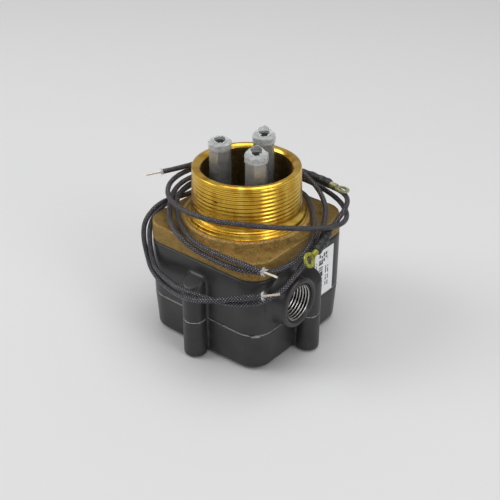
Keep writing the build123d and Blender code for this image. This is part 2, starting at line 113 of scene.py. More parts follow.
FILM_WALL = 0.16
FILM_BAND = 4.1
FLAP_HEIGHTS = (3.0, 0.9, 2.4)
FLAP_SIDE = 129.84


# The studio: the lens and its sensor in millimetres, the shift in widths of the sensor,
# and the rest in metres, watts and degrees

LOOK_AT = Vector((0.0, 0.0, 0.050))
CAMERA_TURN = 39.84
CAMERA_RISE = 30.5
CAMERA_DISTANCE = 0.52
CAMERA_LENS = 66.94
CAMERA_SENSOR = 36.0
CAMERA_SHIFT = (0.0064, -0.0135)
FLOOR_HALF = 4.0
WORLD_LIGHT = 0.37
SOFTBOXES = (
    ("softbox_left", (-0.95, -0.75, 0.95), (0.75, 0.9), 8.3),
    ("softbox_top", (0.1, 0.2, 1.35), (1.1, 1.1), 7.8),
    ("softbox_right", (1.15, -0.15, 0.70), (0.45, 0.8), 3.7),
)


# Shader and geometry graphs


class Wire:
    """One output socket, with the sums that a pattern is written in."""

    def __init__(self, graph, socket):
        self.graph = graph
        self.socket = socket

    def sum(self, operation, other=0.0, first=False):
        pair = (other, self) if first else (self, other)
        return self.graph.node("ShaderNodeMath", {"operation": operation}, pair)

    __add__ = partialmethod(sum, "ADD")
    __sub__ = partialmethod(sum, "SUBTRACT")
    __rsub__ = partialmethod(sum, "SUBTRACT", first=True)
    __mul__ = partialmethod(sum, "MULTIPLY")
    __truediv__ = partialmethod(sum, "DIVIDE")
    __pow__ = partialmethod(sum, "POWER")
    __gt__ = partialmethod(sum, "GREATER_THAN")
    __lt__ = partialmethod(sum, "LESS_THAN")
    __abs__ = partialmethod(sum, "ABSOLUTE")
    larger = partialmethod(sum, "MAXIMUM")
    wave = partialmethod(sum, "SINE")

    def clamped(self):
        return self.graph.node("ShaderNodeClamp", {}, (self, 0.0, 1.0))


class Graph:
    """A node tree that is filled one node at a time."""

    def __init__(self, tree):
        self.tree = tree

    def node(self, kind, settings=None, values=(), out=0):
        """Add a node: its settings first, then its sockets' values or links."""
        made = self.tree.nodes.new(kind)
        for name, value in (settings or {}).items():
            if name == "stops":
                self.colour_stops(made.color_ramp, value)
            else:
                setattr(made, name, value)
        pairs = values.items() if isinstance(values, dict) else enumerate(values)
        for key, value in pairs:
            if isinstance(value, Wire):
                self.tree.links.new(value.socket, made.inputs[key])
            else:
                made.inputs[key].default_value = value
        return Wire(self, made.outputs[out])

    @staticmethod
    def colour_stops(ramp, stops):
        while len(ramp.elements) < len(stops):
            ramp.elements.new(1.0)
        for element, (place, colour) in zip(ramp.elements, stops):
            element.position = place
            element.color = (*colour, 1.0)


class Finish(Graph):
    """A material with one principled shader."""

    def __init__(self, name, **constants):
        self.material = bpy.data.materials.new(name)
        self.material.use_nodes = True
        super().__init__(self.material.node_tree)
        self.tree.nodes.clear()
        self.shader = self.tree.nodes.new("ShaderNodeBsdfPrincipled")
        surface = self.tree.nodes.new("ShaderNodeOutputMaterial")
        self.tree.links.new(self.shader.outputs[0], surface.inputs["Surface"])
        for name, value in constants.items():
            socket = self.shader.inputs[name.replace("_", " ")]
            socket.default_value = (*value, 1.0) if isinstance(value, tuple) else value
        self.place = self.node("ShaderNodeTexCoord", out="Object")

    def feed(self, socket, wire):
        """Link a pattern to one of the shader's sockets."""
        self.tree.links.new(wire.socket, self.shader.inputs[socket])

    def axes(self, vector=None):
        """The three parts of a vector, the object's own place unless told."""
        vector = vector or self.place
        return [self.node("ShaderNodeSeparateXYZ", {}, (vector,), out) for out in range(3)]

    def point(self, x, y, z):
        return self.node("ShaderNodeCombineXYZ", {}, (x, y, z))

    def grain(self, size, detail=2.0, rough=0.5, place=None):
        """Noise whose features are about this many millimetres across."""
        values = {"Vector": place or self.place, "Scale": 1 / (size * MM), "Detail": detail}
        return self.node("ShaderNodeTexNoise", {}, {**values, "Roughness": rough})

    def pebbles(self, size):
        """Distance to the nearest of scattered points."""
        return self.node("ShaderNodeTexVoronoi", {}, {"Vector": self.place, "Scale": 1 / (size * MM)})

    def blend(self, share, first, second):
        """One colour giving way to another."""
        first, second = ((*c, 1.0) if isinstance(c, tuple) else c for c in (first, second))
        return self.node("ShaderNodeMix", {"data_type": "RGBA"}, {0: share, 6: first, 7: second}, 2)

    def between(self, wire, low, high, to_low=0.0, to_high=1.0):
        """Stretch a range of values to another, smoothly."""
        settings = {"interpolation_type": "SMOOTHSTEP"}
        return self.node("ShaderNodeMapRange", settings, (wire, low, high, to_low, to_high))

    def paint(self, share, first, second):
        """Let one colour give way to another all over."""
        self.feed("Base Color", self.blend(share, first, second))

    def gloss(self, wire, low, high, top=0.7):
        """Let a pattern set the roughness, as it goes from 0.3 to its top value."""
        self.feed("Roughness", self.between(wire, 0.3, top, low, high))

    def relief(self, height, depth):
        """Let a height pattern, this many millimetres deep, tilt the surface."""
        values = {"Strength": 1.0, "Distance": depth * MM, "Height": height}
        self.feed("Normal", self.node("ShaderNodeBump", {}, values))


# Colours and sizes that a user would change


class ProbeHeadSizes(PropertyGroup):
    """Sizes of the modelled detail, in millimetres."""

    thread_pitch: FloatProperty(name="Spigot thread pitch",
                                description="Rise of one turn of the spigot's thread",
                                default=2.209, min=1.0, max=4.0)
    thread_depth: FloatProperty(name="Spigot thread depth", description="From crest to root on the spigot",
                                default=0.34, min=0.2, max=2.0)
    hub_thread_pitch: FloatProperty(name="Conduit thread pitch", description="Rise of one turn in the hub",
                                    default=1.814, min=1.0, max=3.0)
    lead_diameter: FloatProperty(name="Lead diameter", description="Across a braided lead",
                                 default=2.8, min=1.0, max=6.0)
    braid_pitch: FloatProperty(name="Braid pitch", description="Length of one turn of a braid strand",
                               default=8.0, min=2.0, max=20.0)
    casting_voxel: FloatProperty(name="Casting softness", description="How soft the castings' edges are",
                                 default=0.62, min=0.4, max=2.0)
    fibre_count: IntProperty(name="Frayed fibres", description="Fibres at each stripped end of a lead",
                             default=42, min=6, max=200)


class ProbeHeadColours(PropertyGroup):
    """Main colours of the finishes."""

    turned_brass: FloatVectorProperty(name="Turned brass", description="Fresh brass of the spigot",
                                      subtype="COLOR", default=(0.88, 0.545, 0.060), min=0, max=1)
    cast_brass: FloatVectorProperty(name="Cast brass", description="Sand-cast brass of the flange",
                                    subtype="COLOR", default=(0.28, 0.175, 0.044), min=0, max=1)
    box_paint: FloatVectorProperty(name="Box paint", description="Satin paint of the terminal box",
                                   subtype="COLOR", default=(0.0185, 0.018, 0.0185), min=0, max=1)
    lead_braid: FloatVectorProperty(name="Lead braid", description="Main colour of the leads' braid",
                                    subtype="COLOR", default=(0.0105, 0.0095, 0.0130), min=0, max=1)
    ring_plating: FloatVectorProperty(name="Ring plating", description="Plating of the ring terminals",
                                      subtype="COLOR", default=(0.53, 0.54, 0.075), min=0, max=1)
    studio_grey: FloatVectorProperty(name="Studio grey", description="Floor and surroundings",
                                     subtype="COLOR", default=(0.745, 0.745, 0.748), min=0, max=1)


def sizes():
    return bpy.context.scene.probe_head_sizes


def colour(name):
    return tuple(getattr(bpy.context.scene.probe_head_colours, name))


# Meshes


def clothed(piece, *materials):
    """Give a piece these materials in place of its own."""
    piece.data.materials.clear()
    for material in materials:
        piece.data.materials.append(material)
    return piece


def dress(node, material):
    """Give a CAD piece one material."""
    return clothed(NODES[node], material)


def shaded(piece, smooth=True):
    """Shade every face of a piece smooth, or flat."""
    piece.data.polygons.foreach_set("use_smooth", [smooth] * len(piece.data.polygons))
    return piece


def add_piece(name, corners, faces, materials, smooth=True):
    """Make a mesh object whose place is in its mesh."""
    mesh = bpy.data.meshes.new(name)
    mesh.from_pydata([tuple(c) for c in corners], [], faces)
    mesh.validate()
    piece = bpy.data.objects.new(name, mesh)
    bpy.context.scene.collection.objects.link(piece)
    return shaded(clothed(piece, *materials), smooth)


def turns(count):
    """Evenly spaced angles of one turn."""
    return [2 * math.pi * k / count for k in range(count)]


def ring_faces(rows, count, closed=True):
    """Quads between rings of corners; the last ring may join the first, as on a tube wall."""
    faces = []
    for row in range(rows if closed else rows - 1):
        here, after = row * count, (row + 1) % rows * count
        for k in range(count):
            ahead = (k + 1) % count
            faces.append((here + k, here + ahead, after + ahead, after + k))
    return faces


def capped_faces(rows, count):
    """Quads between rings of corners, with a fan at either end to the two corners that follow them."""
    pole, last = rows * count, (rows - 1) * count
    faces = ring_faces(rows, count, closed=False)
    faces += [((k + 1) % count, k, pole) for k in range(count)]
    return faces + [(last + k, last + (k + 1) % count, pole + 1) for k in range(count)]


def outward(piece):
    """Turn every face of a closed piece outwards."""
    work = bmesh.new()
    work.from_mesh(piece.data)
    bmesh.ops.recalc_face_normals(work, faces=work.faces)
    work.to_mesh(piece.data)
    work.free()
    return piece


def rounded_square(half, corner, angle):
    """How far a square with round corners reaches in one direction."""
    c, s = abs(math.cos(angle)), abs(math.sin(angle))
    c, s = max(c, s), min(c, s)
    flat = half - corner
    if half * s / c <= flat:
        return half / c
    along = flat * (c + s)
    return along + math.sqrt(max(along * along - 2 * flat * flat + corner * corner, 0.0))


def cad_copy(nodes, name):
    """A merged copy of one or more CAD pieces that meet face to face, as one solid."""
    pieces = []
    for node in nodes:
        work = bmesh.new()
        work.from_mesh(NODES[node].data)
        bmesh.ops.remove_doubles(work, verts=work.verts, dist=1e-6)
        mesh = bpy.data.meshes.new(name)
        work.to_mesh(mesh)
        work.free()
        pieces.append(bpy.data.objects.new(name, mesh))
        bpy.context.scene.collection.objects.link(pieces[-1])
    for other in pieces[1:]:
        union = pieces[0].modifiers.new("join", "BOOLEAN")
        union.operation = "UNION"
        union.solver = "EXACT"
        union.object = other
        made_real(pieces[0])
        bpy.data.objects.remove(other)
    return pieces[0]


def made_real(piece):
    """Turn a piece's modifiers into plain mesh and take them off."""
    bpy.context.view_layer.update()
    seen = piece.evaluated_get(bpy.context.evaluated_depsgraph_get())
    mesh = bpy.data.meshes.new_from_object(seen)
    piece.modifiers.clear()
    piece.data = mesh
    return piece


def soft_casting(nodes, name, material, voxel, passes):
    """A die casting: the CAD shape with its edges and inner corners rounded."""
    piece = cad_copy(nodes, name)
    remesh = piece.modifiers.new("even", "REMESH")
    remesh.mode = "VOXEL"
    remesh.voxel_size = voxel * MM
    smooth = piece.modifiers.new("soft", "SMOOTH")
    smooth.factor = 0.5
    smooth.iterations = passes
    return shaded(clothed(made_real(piece), material))


def standing(piece, body, slot=None, *nodes):
    """Let a piece ride on a body and stand for CAD pieces."""
    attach(piece, body)
    if nodes:
        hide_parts(*nodes)
    return piece


# Finishes


def tinted(base, *factors, lift=0.0):
    """A colour scaled by one factor, or by one for each part, and lifted."""
    return tuple(min(part * factor + lift, 1.0) for part, factor in zip(base, factors * 3))


def turned_brass():
    """Bright brass with fine turning marks, upright streaks of painted reflection, dark and pale, and one
    dark nick.
    """
    finish = Finish("turned brass", Metallic=1.0, Roughness=0.27, Coat_Weight=0.24, Coat_Roughness=0.26)
    x, y, z = finish.axes()
    marks = finish.grain(0.22, 1.0, place=finish.point(x * 0.02, y * 0.02, z))
    tone = finish.grain(9.0, 3.0)
    # Upright streaks: painted reflections of the lamps, laid as dark and pale bands
    reflection_streaks = finish.grain(6.5, 1.0, place=finish.point(x, y, z * 0.05))
    base = colour("turned_brass")
    # Darker copy where random tone and the upright streaks rise: partly the metal's tone, partly painted
    # dark reflection
    tone_and_dark_streaks = finish.between(tone * 0.6 + reflection_streaks * 0.7, 0.58, 0.84)
    skin = finish.blend(tone_and_dark_streaks, base, tinted(base, 0.68, 0.57, 0.42))
    # Paler, less saturated copy on the upright streaks: painted highlight
    pale = tinted(base, 1.12, 1.28, 2.2, lift=0.02)
    skin = finish.blend(finish.between(reflection_streaks, 0.46, 0.28, 0.0, 0.7), skin, pale)
    across, height = x - NICK[0] * MM, z - NICK[2] * MM
    off = (across * across + (y - NICK[1] * MM) ** 2.0 + height * height * 4.0) ** 0.5
    nick = finish.between(off + (tone - 0.5) * 0.002, 0.0019, 0.0010)
    finish.paint(nick * 0.85, skin, (0.03, 0.06, 0.05))
    finish.gloss(tone, 0.20, 0.32, 0.75)
    finish.relief(marks, 0.004)
    return finish.material


def cast_brass(name, shade=1.0, crumbs=0.0):
    """Sand-cast brass: brown, gritty, with green and copper-red tints, painted glints, lighter painted
    sides, and bright edges partly worn and partly painted highlight.
    """
    finish = Finish(name, Metallic=0.55, Roughness=0.55)
    x, y, z = finish.axes()
    grit = finish.grain(0.60, 4.0, 0.7)
    patch = finish.grain(5.0, 4.0, 0.6)
    aside = finish.node("ShaderNodeVectorMath", {"operation": "ADD"}, (finish.place, (0.3, 0.1, 0.7)))
    tint = finish.grain(2.8, 4.0, 0.7, aside)
    # A shade factor below 1 darkens the whole finish: painted shade
    base = tinted(colour("cast_brass"), shade)
    plate_top = BRASS_LOW.z + FLANGE_THICK * MM
    tone = finish.blend(finish.between(patch, 0.40, 0.68), base, tinted(base, 0.55))
    # The flange's side faces are painted lighter than its top: painted light
    side = finish.between(z, plate_top - 0.0002, plate_top - 0.0010)
    tone = finish.blend(side * 0.6, tone, tinted(base, 1.30))
    tone = finish.blend(finish.between(tint, 0.53, 0.68, 0.0, 0.75), tone, tinted(base, 0.72, 1.05, 0.80))
    tone = finish.blend(finish.between(tint, 0.46, 0.32, 0.0, 0.70), tone, tinted(base, 1.45, 0.90, 0.95))
    pits = finish.between(finish.pebbles(1.5), 0.36, 0.16)
    tone = finish.blend(pits * 0.55, tone, tinted(base, 0.25))
    # Bright spots scattered by the grit: painted glints
    painted_glints = finish.between(grit, 0.56, 0.66)
    # Bright crown edge and rounded flange top edge: partly wear, partly painted highlight
    from_edge = abs((x * x + y * y) ** 0.5 - CROWN_EDGE * MM)
    on_crown = z > (plate_top + 0.0012)
    worn = finish.between(from_edge, 0.0012, 0.0004) * on_crown * finish.between(grit, 0.44, 0.52)
    rounded = (finish.between(z, plate_top - 0.0011, plate_top - 0.0007)
               * finish.between(z, plate_top - 0.00015, plate_top - 0.0004))
    worn = worn.larger(rounded * finish.between(patch + grit * 0.3, 0.50, 0.70) * side.larger(0.3))
    tone = finish.blend((painted_glints * 0.65).larger(worn), tone, tinted(base, 2.3, lift=0.04))
    loose = finish.between(finish.pebbles(3.0), 0.13, 0.06) * crumbs
    finish.paint(loose, tone, (0.62, 0.50, 0.26))
    finish.gloss(grit, 0.66, 0.36, 0.75)
    finish.relief(grit - pits * 0.3, 0.42)
    return finish.material


def worn_paint(seam_low, seam_high, chip_at, wear):
    """Satin black paint with an orange-peel skin, worn to metal along the seam."""
    finish = Finish(f"worn box paint {seam_low * 1000:.0f}", Metallic=0.0, Roughness=0.36)
    x, y, z = finish.axes()
    skin = finish.grain(0.7, 2.0)
    cloud = finish.grain(14.0, 3.0)
    breaks = finish.grain(2.2, 4.0, 0.7)
    near = 1 - abs(z - (seam_low + seam_high) / 2) / ((seam_high - seam_low) / 2)
    from_chip = ((x - chip_at[0]) ** 2.0 + (y - chip_at[1]) ** 2.0) ** 0.5
    chip = finish.between(from_chip, 0.0045, 0.0010)
    worn = finish.between(near * wear + breaks * 0.7 + chip * 0.6, 0.80, 1.15)
    specks = finish.between(finish.pebbles(5.5), 0.045, 0.02)
    base = colour("box_paint")
    coat = finish.blend(finish.between(cloud, 0.35, 0.75), base, tinted(base, 1.5, lift=0.006))
    coat = finish.blend(specks * 0.35, coat, (0.30, 0.30, 0.29))
    finish.paint(worn, coat, (0.36, 0.36, 0.34))
    finish.feed("Metallic", worn * 0.5)
    finish.gloss(cloud, 0.32, 0.44, 0.8)
    finish.relief(skin - worn * 0.8, 0.035)
    return finish.material


def machined_steel(name, tone, rough):
    """Plated steel with fine scratches."""
    finish = Finish(name, Metallic=1.0, Roughness=rough)
    x, y, z = finish.axes()
    lines = finish.grain(0.5, 2.0, place=finish.point(x, y, z * 0.08))
    finish.paint(finish.grain(3.0, 2.0), (tone, tone, tone * 0.98), (tone * 0.7, tone * 0.7, tone * 0.68))
    finish.gloss(lines, rough * 0.8, rough * 1.35)
    finish.relief(lines, 0.02)
    return finish.material


def cut_thread(centre):
    """Bright crests and grooves painted dark as shade, of a thread cut along X."""
    finish = Finish("cut thread", Metallic=1.0, Roughness=0.26)
    _, y, z = finish.axes()
    reach = ((y - centre.y) ** 2.0 + (z - centre.z) ** 2.0) ** 0.5
    cloud = finish.grain(2.0, 2.0)
    tone = finish.blend(cloud, (0.74, 0.73, 0.70), (0.56, 0.55, 0.52))
    # Grooves, past 9.4 mm from the axis, painted near black: painted shade
    finish.paint(finish.between(reach, 0.0094, 0.0100), tone, (0.05, 0.05, 0.045))
    finish.gloss(cloud, 0.20, 0.36)
    return finish.material


def post_metal():
    """Dull grey metal of the hex couplings, with painted shade darkening it low down."""
    finish = Finish("coupling metal", Metallic=0.75, Roughness=0.42)
    cloud = finish.grain(2.4, 3.0)
    # Painted shade: near black at the foot, the metal's grey higher up
    low = finish.between(finish.axes()[2], 0.088, 0.109)
    tone = finish.blend(low, (0.03, 0.03, 0.03), (0.32, 0.33, 0.32))
    finish.paint(finish.between(cloud, 0.4, 0.7, 0.0, 0.35), tone, (0.22, 0.22, 0.21))
    finish.relief(cloud, 0.04)
    return finish.material


def clear_film():
    """Clear heat-shrunk film, cloudy and crinkled where it is folded over the top."""
    finish = Finish("clear film", Roughness=0.16, IOR=1.45)
    lip = finish.axes(finish.node("ShaderNodeUVMap", {"uv_map": "lip"}))[1]
    cloud = finish.grain(2.2, 2.0)
    crinkle = finish.grain(1.9, 2.0, 0.5)
    top = POSTS[0][1].z
    band = finish.between(finish.axes()[2], top - 0.0042, top - 0.0034)
    folded = band * 0.20 + finish.between(crinkle, 0.46, 0.60) * band * 0.14
    rim = finish.between(lip, 0.80, 0.98)
    finish.paint(cloud, (0.60, 0.62, 0.62), (0.92, 0.93, 0.93))
    finish.feed("Alpha", (cloud * 0.15 + 0.035 + folded + rim * 0.62).clamped())
    finish.gloss(cloud, 0.10, 0.30)
    finish.relief(crinkle, 0.14)
    return finish.material


def braid():
    """Varnished braid: two sets of strands that cross, with pale flecks and painted shade between the
    strands.
    """
    finish = Finish("lead braid", Roughness=0.45, Coat_Weight=0.14, Coat_Roughness=0.30)
    around, along, _ = finish.axes(finish.node("ShaderNodeUVMap", {"uv_map": "along"}))
    turn = along * (2 * math.pi / (sizes().braid_pitch * MM))
    spin = around * (2 * math.pi)
    right = (spin * 5.0 + turn * 5.0).wave()
    left = (spin * 5.0 - turn * 5.0).wave()
    weave = right.larger(left)
    over = finish.between(right - left, -0.2, 0.2)
    crossing = finish.between(right + left, 0.9, 1.6)
    uneven = finish.between(finish.grain(1.3, 2.0, 0.6), 0.38, 0.62, 0.25, 1.0)
    base = colour("lead_braid")
    # Darker between the strands: painted shade in the grooves of the weave
    tone = finish.blend(finish.between(weave, -0.4, 0.9), tinted(base, 0.3), base)
    tone = finish.blend(over * 0.22, tone, tinted(base, 2.2, 1.8, 2.4))
    finish.paint(crossing * uneven, tone, (0.44, 0.415, 0.47))
    finish.feed("Roughness", finish.between(weave, -0.2, 1.0, 0.62, 0.40))
    finish.relief(weave, 0.16)
    return finish.material


def shrunk_black():
    """Black heat-shrunk sleeve with fine wrinkles."""
    finish = Finish("black heat shrink", Roughness=0.38)
    wrinkle = finish.grain(1.6, 3.0, 0.6)
    dust = finish.between(finish.grain(0.6, 2.0), 0.6, 0.8, 0.0, 0.4)
    finish.paint(dust, (0.018, 0.018, 0.019), (0.075, 0.075, 0.075))
    finish.gloss(wrinkle, 0.30, 0.5)
    finish.relief(wrinkle, 0.45)
    return finish.material


def plated_ring(faded):
    """Yellow-green passivated plating with dull patches, here and there faded to grey."""
    finish = Finish(f"ring plating {faded:.1f}", Metallic=0.65, Roughness=0.36)
    cloud = finish.grain(1.8, 3.0)
    base = tuple(c + (grey - c) * faded for c, grey in zip(colour("ring_plating"), (0.50, 0.52, 0.42)))
    finish.paint(finish.between(cloud, 0.35, 0.7), base, tinted(base, 0.55, 0.50, 0.6))
    finish.gloss(cloud, 0.28, 0.5)
    finish.relief(cloud, 0.04)
    return finish.material


def tinned_wire():
    """Bright tinned strands."""
    finish = Finish("tinned strands", Metallic=0.85, Roughness=0.34)
    cloud = finish.grain(0.8, 2.0)
    finish.paint(cloud, (0.86, 0.80, 0.68), (0.62, 0.56, 0.46))
    finish.gloss(cloud, 0.26, 0.46)
    return finish.material


def frayed_fibre():
    """Pale glass fibres where a braid was cut."""
    finish = Finish("frayed fibre", Roughness=0.5)
    finish.paint(finish.grain(0.5, 1.0), (0.62, 0.62, 0.64), (0.95, 0.95, 0.95))
    return finish.material


def plain_label():
    """White printed label with plain grey bars and no lettering."""
    finish = Finish("label paper", Roughness=0.34)
    _, y, z = finish.axes()
    across = (y - LABEL_LOW.y) / (LABEL_HIGH.y - LABEL_LOW.y)
    up = (z - LABEL_LOW.z) / (LABEL_HIGH.z - LABEL_LOW.z)

    def field(left, right, low, high):
        return (across > left) * (across < right) * (up > low) * (up < high)

    lines = across * 9.0
    line = lines.sum("FRACT")
    bars = finish.grain(1.5, 0.0, place=finish.point(z, 0.0, 0.0)) > 0.48
    dashes = finish.grain(2.0, 1.0, place=finish.point(z, lines.sum("FLOOR") * 0.01, 0.0)) > 0.45
    code = field(0.22, 0.44, 0.12, 0.74) * bars
    rows = field(0.52, 0.80, 0.14, 0.62) * dashes * (line > 0.25) * (line < 0.72)
    heading = field(0.20, 0.70, 0.74, 0.93) * dashes * (line > 0.15) * (line < 0.85)
    margin = field(0.06, 0.12, 0.12, 0.80) * dashes
    ink = (code + rows + heading + margin * 0.6).clamped()
    cloud = finish.grain(4.0, 2.0)
    paper = finish.blend(cloud, (0.95, 0.96, 0.97), (0.86, 0.87, 0.89))
    finish.paint(ink, paper, (0.03, 0.03, 0.035))
    finish.relief(cloud, 0.05)
    return finish.material


def moulded(name, tone, rough):
    """Plain moulded plastic or gasket sheet with a fine skin."""
    finish = Finish(name, Roughness=rough)
    skin = finish.grain(0.6, 2.0)
    finish.paint(skin, tone, tinted(tone, 0.8))
    finish.relief(skin, 0.05)
    return finish.material


def seam_sheet():
    """Gasket sheet whose edge is scuffed pale in most places."""
    finish = Finish("cover gasket sheet", Roughness=0.55)
    scuff = finish.between(finish.grain(3.0, 4.0, 0.7), 0.36, 0.52)
    finish.paint(scuff, (0.04, 0.04, 0.04), (0.40, 0.40, 0.385))
    return finish.material


# The leads' routes, in millimetres, from the stripped end to the black sleeve

LEAD_ROUTES = (
    (
        (46, -43.5, 71), (34.5, -43.5, 70.5), (21, -43.5, 69.5), (8, -43.5, 69.5), (-3.5, -42.5, 71),
        (-17, -35, 71.5), (-29.5, -25.5, 73.5), (-36.3, -15.5, 75.7), (-39.5, -2.5, 76),
        (-39.5, 16, 75.5), (-29, 32, 75.5), (-11.5, 41.5, 75.5), (7, 43.5, 75.5), (19.5, 44, 73.5),
        (30.5, 42.5, 71.5), (40, 36.5, 71), (47.5, 28, 71), (49.5, 17.5, 71.5), (45, 6.5, 73),
        (39, -5.5, 76), (32, -18, 79.5), (21.5, -29, 82), (8, -35.5, 82), (-7, -36.5, 81.5),
        (-21, -34.5, 81), (-33, -28, 81), (-41, -18, 81.5), (-43, -6.5, 82.5), (-41, 6.5, 82.5),
        (-35.5, 21, 82.5), (-24, 32.5, 82), (-9, 38, 81.5), (6.5, 40, 80.8),
    ),
    (
        (-48.5, -15, 85), (-44.5, -8.5, 85.5), (-41, 0, 86), (-37, 13, 86), (-27, 28, 86),
        (-10, 37, 86), (4, 37, 86), (15, 33, 84.5), (23, 32.5, 80.5), (29.5, 30, 76.5),
        (35.3, 25, 73), (40.4, 17, 71), (43.3, 8.5, 67.5), (44.4, 0, 62.5), (46, -10.5, 58),
        (49, -21.5, 57.5), (48.5, -32, 53.5), (43, -41, 49.5), (34, -47.5, 48), (24.5, -51, 47.5),
        (14, -52.5, 47), (1, -54, 46.5), (-15, -49, 44), (-26.5, -45.5, 44), (-31.7, -42.9, 47.2),
        (-35.3, -40.6, 54), (-39.7, -36.3, 61.2), (-43.6, -28, 65), (-44.8, -16, 67.5), (-45, -2, 70),
        (-43.5, 11.5, 72.5), (-38, 25.5, 73), (-28, 37.5, 73), (-12, 46, 73), (6, 49.5, 73),
        (20, 49, 73.5), (31.5, 46, 74.5), (40, 39, 75.7), (44.3, 30.3, 74.6), (45.3, 20.5, 71.3),
        (46.2, 11.5, 68),
    ),
    (
        (44.5, -42, 55), (33, -49, 52), (22.5, -55, 49.5), (9.5, -57.5, 45.5), (-8.5, -52, 40.5),
        (-21.5, -47.5, 39), (-31.8, -44.4, 41.8), (-37.5, -41.3, 48), (-40.7, -40.2, 56.2),
        (-42.9, -36.9, 64.2), (-41.3, -29.8, 71), (-39, -21.5, 73.5), (-36.5, -9, 72), (-36, 5, 72),
        (-31, 19.5, 72.5), (-19.5, 31.5, 72.5), (-2, 37, 72.5), (15.5, 33.5, 72.5),
        (25.5, 24.5, 72.5), (35, 14.5, 71.5), (42, 5.5, 70), (44.3, -3, 65), (44.3, -12.5, 62),
        (44, -23.5, 62.5), (43.5, -33, 64.5), (38, -40.5, 66), (28, -44.5, 66), (14, -44, 65.5),
        (1, -44, 66.5), (-10.5, -43.5, 70), (-20, -39.5, 72.5), (-29.5, -30.5, 74.7), (-36.5, -20, 78.3),
        (-39, -9, 80), (-38.5, 3, 79.5), (-35, 13.5, 79), (-30, 21.5, 78),
    ),
)
SLEEVE_ENDS = (
    ((17, 41.7, 80.2), (26, 41.6, 79.4)),
    ((47.9, 6, 66.4), (49.6, -3.2, 65.2)),
    ((-26.8, 25.6, 77.9), (-22.8, 28.6, 78.2), (-17.8, 31, 78.7)),
)
SLEEVE_LEAD_IN = 0.35  # share of the way to a sleeve's first end point
CORE_LEAD_IN = 0.5
SHRINK_RADIUS = 2.55
SHRINK_FOLDS = 0.48
RINGS_FADED = (0.6, 0.0, 0.2)


def route_line(name, points):
    """The smooth line of a route: a clamped NURBS spline with these control points, in metres."""
    curve = bpy.data.curves.new(name, "CURVE")
    curve.dimensions = "3D"
    curve.resolution_u = 14
    spline = curve.splines.new("NURBS")
    spline.points.add(len(points) - 1)
    for point, place in zip(spline.points, points):
        point.co = (*(Vector(place) * MM), 1.0)
    spline.order_u = 3
    spline.use_endpoint_u = True
    holder = bpy.data.objects.new(name, curve)
    bpy.context.scene.collection.objects.link(holder)
    bpy.context.view_layer.update()
    seen = holder.evaluated_get(bpy.context.evaluated_depsgraph_get())
    mesh = bpy.data.meshes.new_from_object(seen)
    line = [vertex.co.copy() for vertex in mesh.vertices]
    bpy.data.objects.remove(holder)
    bpy.data.meshes.remove(mesh)
    return line


def even_line(line, step):
    """The same line with its points evenly spaced."""
    lengths = [0.0]
    for before, after in zip(line, line[1:]):
        lengths.append(lengths[-1] + (after - before).length)
    count = max(int(lengths[-1] / step), 4)
    out, k = [], 0
    for number in range(count + 1):
        target = lengths[-1] * number / count
        while k < len(lengths) - 2 and lengths[k + 1] < target:
            k += 1
        span = lengths[k + 1] - lengths[k]
        share = (target - lengths[k]) / span if span else 0.0
        out.append(line[k].lerp(line[k + 1], min(max(share, 0.0), 1.0)))
    return out


def frames_along(line):
    """A pair of crosswise directions at each point, without twist."""
    tangents = []
    for k in range(len(line)):
        ahead, behind = line[min(k + 1, len(line) - 1)], line[max(k - 1, 0)]
        tangents.append((ahead - behind).normalized())
    side = tangents[0].orthogonal().normalized()
    frames = []
    for tangent in tangents:
        side = (side - tangent * side.dot(tangent)).normalized()
        frames.append((side, tangent.cross(side)))
    return frames


def tube_piece(name, line, around, radius_at, materials):
    """A closed tube along a line, with its length and turn kept in a UV map."""
    frames = frames_along(line)
    corners, lengths = [], [0.0]
    for before, after in zip(line, line[1:]):
        lengths.append(lengths[-1] + (after - before).length)
    for k, (centre, (side, up)) in enumerate(zip(line, frames)):
        for angle in turns(around):
            radius = radius_at(lengths[k], lengths[-1], angle)
            corners.append(centre + (side * math.cos(angle) + up * math.sin(angle)) * radius)
    rows = len(line)
    corners += [line[0], line[-1]]
    piece = add_piece(name, corners, capped_faces(rows, around), materials)
    layer = piece.data.uv_layers.new(name="along")
    for face in piece.data.polygons:
        columns = [piece.data.loops[i].vertex_index % around for i in face.loop_indices]
        wraps = 0 in columns and around - 1 in columns
        for i in face.loop_indices:
            vertex = piece.data.loops[i].vertex_index
            if vertex >= rows * around:
                layer.data[i].uv = (0.5, lengths[0] if vertex == rows * around else lengths[-1])
                continue
            turn = vertex % around
            u = 1.0 if wraps and turn == 0 else turn / around
            layer.data[i].uv = (u, lengths[vertex // around])
    return piece


def shape_tree(name, inputs, build):
    """A geometry tree with these named inputs and a finish; a function turns the wires into the shape."""
    tree = bpy.data.node_groups.new(name, "GeometryNodeTree")
    tree.interface.new_socket("Geometry", in_out="OUTPUT", socket_type="NodeSocketGeometry")
    for label, kind, default in (*inputs, ("Finish", "Material", None)):
        socket = tree.interface.new_socket(label, in_out="INPUT", socket_type=f"NodeSocket{kind}")
        if default is not None:
            socket.default_value = default
    graph = Graph(tree)
    given = tree.nodes.new("NodeGroupInput")
    wires = {socket.name: Wire(graph, socket) for socket in given.outputs}
    real = graph.node("GeometryNodeRealizeInstances", {}, (build(graph, wires),))
    finished = graph.node("GeometryNodeSetMaterial", {}, {"Geometry": real, "Material": wires["Finish"]})
    tree.links.new(finished.socket, tree.nodes.new("NodeGroupOutput").inputs[0])
    return tree


